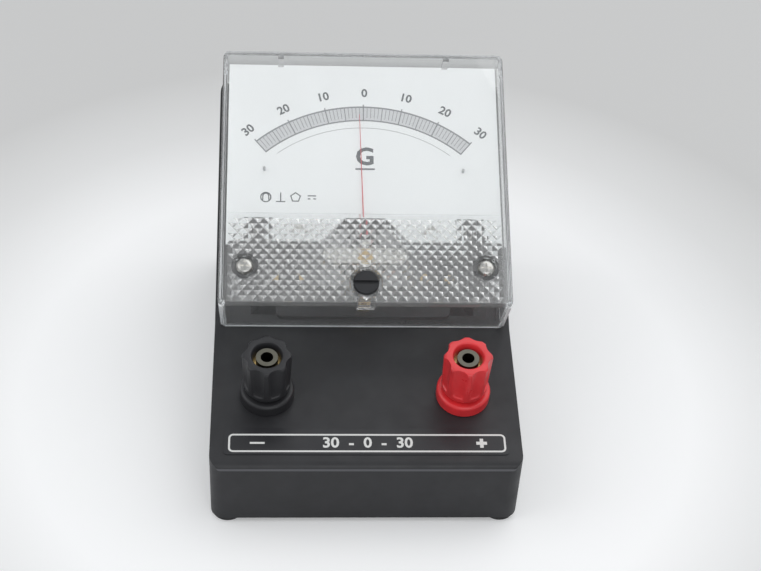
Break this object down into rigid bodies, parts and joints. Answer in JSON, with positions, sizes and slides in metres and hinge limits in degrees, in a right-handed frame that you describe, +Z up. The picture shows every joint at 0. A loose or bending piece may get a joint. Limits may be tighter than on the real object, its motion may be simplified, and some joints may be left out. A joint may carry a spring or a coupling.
{
  "type": "galvanometer",
  "caption": "Sloping desk galvanometer: centre-zero moving-coil meter under a clear tray cover, with a red and a black terminal on the front panel.",
  "frame": {"origin": "middle of the footprint, on the plane that the rubber feet stand on", "axes": "+X to the reader's right, +Y to the back, +Z up; the scale faces front and up"},
  "size_m": [0.1, 0.136, 0.1023],
  "materials": {
    "black_plastic": "moulded black, fine satin texture",
    "clear_plastic": "clear moulded styrene, polished",
    "red_plastic": "moulded red, satin",
    "cream_plastic": "insulating bush, plain",
    "white_dial": "white paint, printed scale",
    "label_film": "black film with white line",
    "red_pointer": "red lacquer",
    "rubber": "plain moulded",
    "nickel": "nickel plate, satin",
    "steel": "plain",
    "soft_iron": "ground",
    "magnet_alloy": "cast, dark",
    "aluminium": "pressed sheet",
    "brass": "turned",
    "bronze": "drawn strip",
    "copper": "enamelled wire",
    "red_wire": "insulated wire",
    "black_wire": "insulated wire"
  },
  "bodies": {
    "case": {"base_housing": "black_plastic", "bottom_plate": "black_plastic", "bottom_screws": "steel", "rubber_feet": "rubber", "front_strip": "label_film", "front_cover": "clear_plastic", "cover_screws": "nickel", "arm_washer": "brass", "dial_plate": "white_dial", "dial_screws": "nickel", "pointer_stops": "steel", "front_jewel_screw": "brass", "rear_jewel_screw": "brass", "jewel_nuts": "brass", "magnet": "magnet_alloy", "pole_pieces": "soft_iron", "iron_core": "soft_iron", "core_bracket": "brass", "movement_frame": "aluminium", "frame_screws": "nickel", "front_bridge": "brass", "rear_bridge": "brass", "bridge_pillars": "brass", "bridge_screws": "nickel", "solder_tags": "brass", "red_stem": "nickel", "red_collar": "red_plastic", "black_stem": "nickel", "black_collar": "black_plastic", "terminal_bushes": "cream_plastic", "terminal_washers": "nickel", "terminal_nuts": "nickel", "solder_lugs": "nickel", "red_lead": "red_wire", "black_lead": "black_wire"},
    "moving_coil": {"pointer": "red_pointer", "balance_weights": "brass", "coil_former": "aluminium", "coil_winding": "copper", "front_staff": "steel", "rear_staff": "steel", "front_hairspring": "bronze", "rear_hairspring": "bronze"},
    "zero_adjuster": {"zero_adjuster": "black_plastic", "adjuster_clip": "steel"},
    "zero_arm": {"zero_arm": "brass"},
    "red_clamp": {"red_clamp_washer": "nickel"},
    "red_cap": {"red_cap": "red_plastic", "red_insert": "brass"},
    "black_clamp": {"black_clamp_washer": "nickel"},
    "black_cap": {"black_cap": "black_plastic", "black_insert": "brass"}
  },
  "joints": [
    {"name": "pointer_turn", "type": "hinge", "parent": "case", "child": "moving_coil", "pos_m": [0, -0.00566, 0.05927], "axis": [0, -0.5, 0.866], "range_deg": [-45.5, 42.5], "stiffness_Nm_per_rad": 0.00002},
    {"name": "zero_adjust", "type": "hinge", "parent": "case", "child": "zero_adjuster", "pos_m": [0, -0.01692, 0.05878], "axis": [0, -0.5, 0.866], "range_deg": [-45, 45]},
    {"name": "zero_arm_turn", "type": "hinge", "parent": "case", "child": "zero_arm", "pos_m": [0, -0.00644, 0.06062], "axis": [0, -0.5, 0.866], "range_deg": [-6, 6]},
    {"name": "red_cap_lift", "type": "slide", "parent": "case", "child": "red_clamp", "axis": [0, -0.1736, 0.9848], "range_m": [0, 0.0035]},
    {"name": "red_cap_turn", "type": "hinge", "parent": "red_clamp", "child": "red_cap", "pos_m": [0.032, -0.04216, 0.04071], "axis": [0, -0.1736, 0.9848], "range_deg": [0, 1801]},
    {"name": "black_cap_lift", "type": "slide", "parent": "case", "child": "black_clamp", "axis": [0, -0.1736, 0.9848], "range_m": [0, 0.0035]},
    {"name": "black_cap_turn", "type": "hinge", "parent": "black_clamp", "child": "black_cap", "pos_m": [-0.032, -0.04216, 0.04071], "axis": [0, -0.1736, 0.9848], "range_deg": [0, 1801]}
  ],
  "couplings": [
    {"joint": "zero_arm_turn", "follows": "zero_adjust", "ratio": -0.125},
    {"joint": "red_cap_turn", "follows": "red_cap_lift", "rad_per_m": 8976},
    {"joint": "black_cap_turn", "follows": "black_cap_lift", "rad_per_m": 8976}
  ]
}
